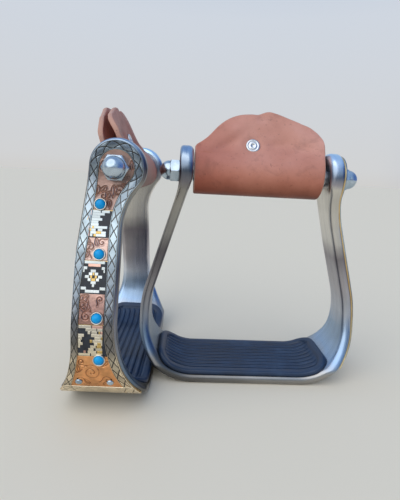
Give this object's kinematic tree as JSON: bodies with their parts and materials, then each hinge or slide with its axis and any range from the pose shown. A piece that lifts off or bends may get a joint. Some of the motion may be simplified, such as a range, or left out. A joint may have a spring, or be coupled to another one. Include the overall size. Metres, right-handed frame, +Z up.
{
  "type": "western stirrup pair",
  "caption": "Cast western riding stirrups with a ribbed rubber tread, a turning roller under a leather cover, and an inlaid and engraved outer arm.",
  "frame": {"origin": "centre of the right stirrup's sole, on the ground it stands on", "axes": "+X along the right stirrup's top bar, away from the left stirrup; -Y towards the viewer of the picture, +Z up"},
  "size_m": [0.1933, 0.1527, 0.1786],
  "materials": {
    "cast_aluminium": "polished by hand, fine lengthwise brushing",
    "black_rubber": "moulded, matt, ribbed lengthwise",
    "zinc_steel": "zinc plated",
    "polished_steel": "bright plated",
    "roller_steel": "turned and polished",
    "tan_leather": "worn tan top grain with pale cut edges",
    "rivet_steel": "plated, dulled by handling",
    "backing_brass": "satin edge",
    "nickel_silver": "engraved and polished",
    "copper": "engraved copper",
    "black_inlay": "black ground with silver and gold inlay",
    "turquoise": "polished stone"
  },
  "bodies": {
    "right_stirrup": {"right_frame": "cast_aluminium", "right_tread_pad": "black_rubber", "right_pad_screws": "zinc_steel", "right_top_stud": "zinc_steel", "right_inboard_cap_nut": "polished_steel", "right_outboard_cap_nut": "polished_steel", "right_roller_washers": "zinc_steel", "right_trim_backplate": "backing_brass", "right_border_plate": "nickel_silver", "right_copper_top": "copper", "right_pattern_upper": "black_inlay", "right_copper_upper": "copper", "right_pattern_centre": "black_inlay", "right_copper_lower": "copper", "right_pattern_lower": "black_inlay", "right_copper_bottom": "copper", "right_stone_bezels": "nickel_silver", "right_turquoise_stones": "turquoise", "right_trim_screws": "nickel_silver"},
    "right_roller": {"right_roller_tube": "roller_steel"},
    "right_cover": {"right_leather_cover": "tan_leather", "right_cover_post": "rivet_steel", "right_cover_screw": "rivet_steel"},
    "left_stirrup": {"left_frame": "cast_aluminium", "left_tread_pad": "black_rubber", "left_pad_screws": "zinc_steel", "left_top_stud": "zinc_steel", "left_inboard_cap_nut": "polished_steel", "left_outboard_cap_nut": "polished_steel", "left_roller_washers": "zinc_steel", "left_trim_backplate": "backing_brass", "left_border_plate": "nickel_silver", "left_copper_top": "copper", "left_pattern_upper": "black_inlay", "left_copper_upper": "copper", "left_pattern_centre": "black_inlay", "left_copper_lower": "copper", "left_pattern_lower": "black_inlay", "left_copper_bottom": "copper", "left_stone_bezels": "nickel_silver", "left_turquoise_stones": "turquoise", "left_trim_screws": "nickel_silver"},
    "left_roller": {"left_roller_tube": "roller_steel"},
    "left_cover": {"left_leather_cover": "tan_leather", "left_cover_post": "rivet_steel", "left_cover_screw": "rivet_steel"}
  },
  "joints": [
    {"name": "right_roller_spin", "type": "hinge", "parent": "right_stirrup", "child": "right_roller", "pos_m": [0, -0.0092, 0.14], "axis": [1, 0, 0], "continuous": true},
    {"name": "right_cover_swing", "type": "hinge", "parent": "right_stirrup", "child": "right_cover", "pos_m": [0, -0.0092, 0.14], "axis": [1, 0, 0], "continuous": true},
    {"name": "left_stirrup_apart", "type": "slide", "parent": "right_stirrup", "child": "left_stirrup", "axis": [-1, 0, 0], "range_m": [0, 0.08]},
    {"name": "left_roller_spin", "type": "hinge", "parent": "left_stirrup", "child": "left_roller", "pos_m": [-0.0826, 0.00797, 0.14], "axis": [0.0244, 0.9997, 0], "continuous": true},
    {"name": "left_cover_swing", "type": "hinge", "parent": "left_stirrup", "child": "left_cover", "pos_m": [-0.0826, 0.00797, 0.14], "axis": [0.0244, 0.9997, 0], "range_deg": [-185, 68]}
  ]
}
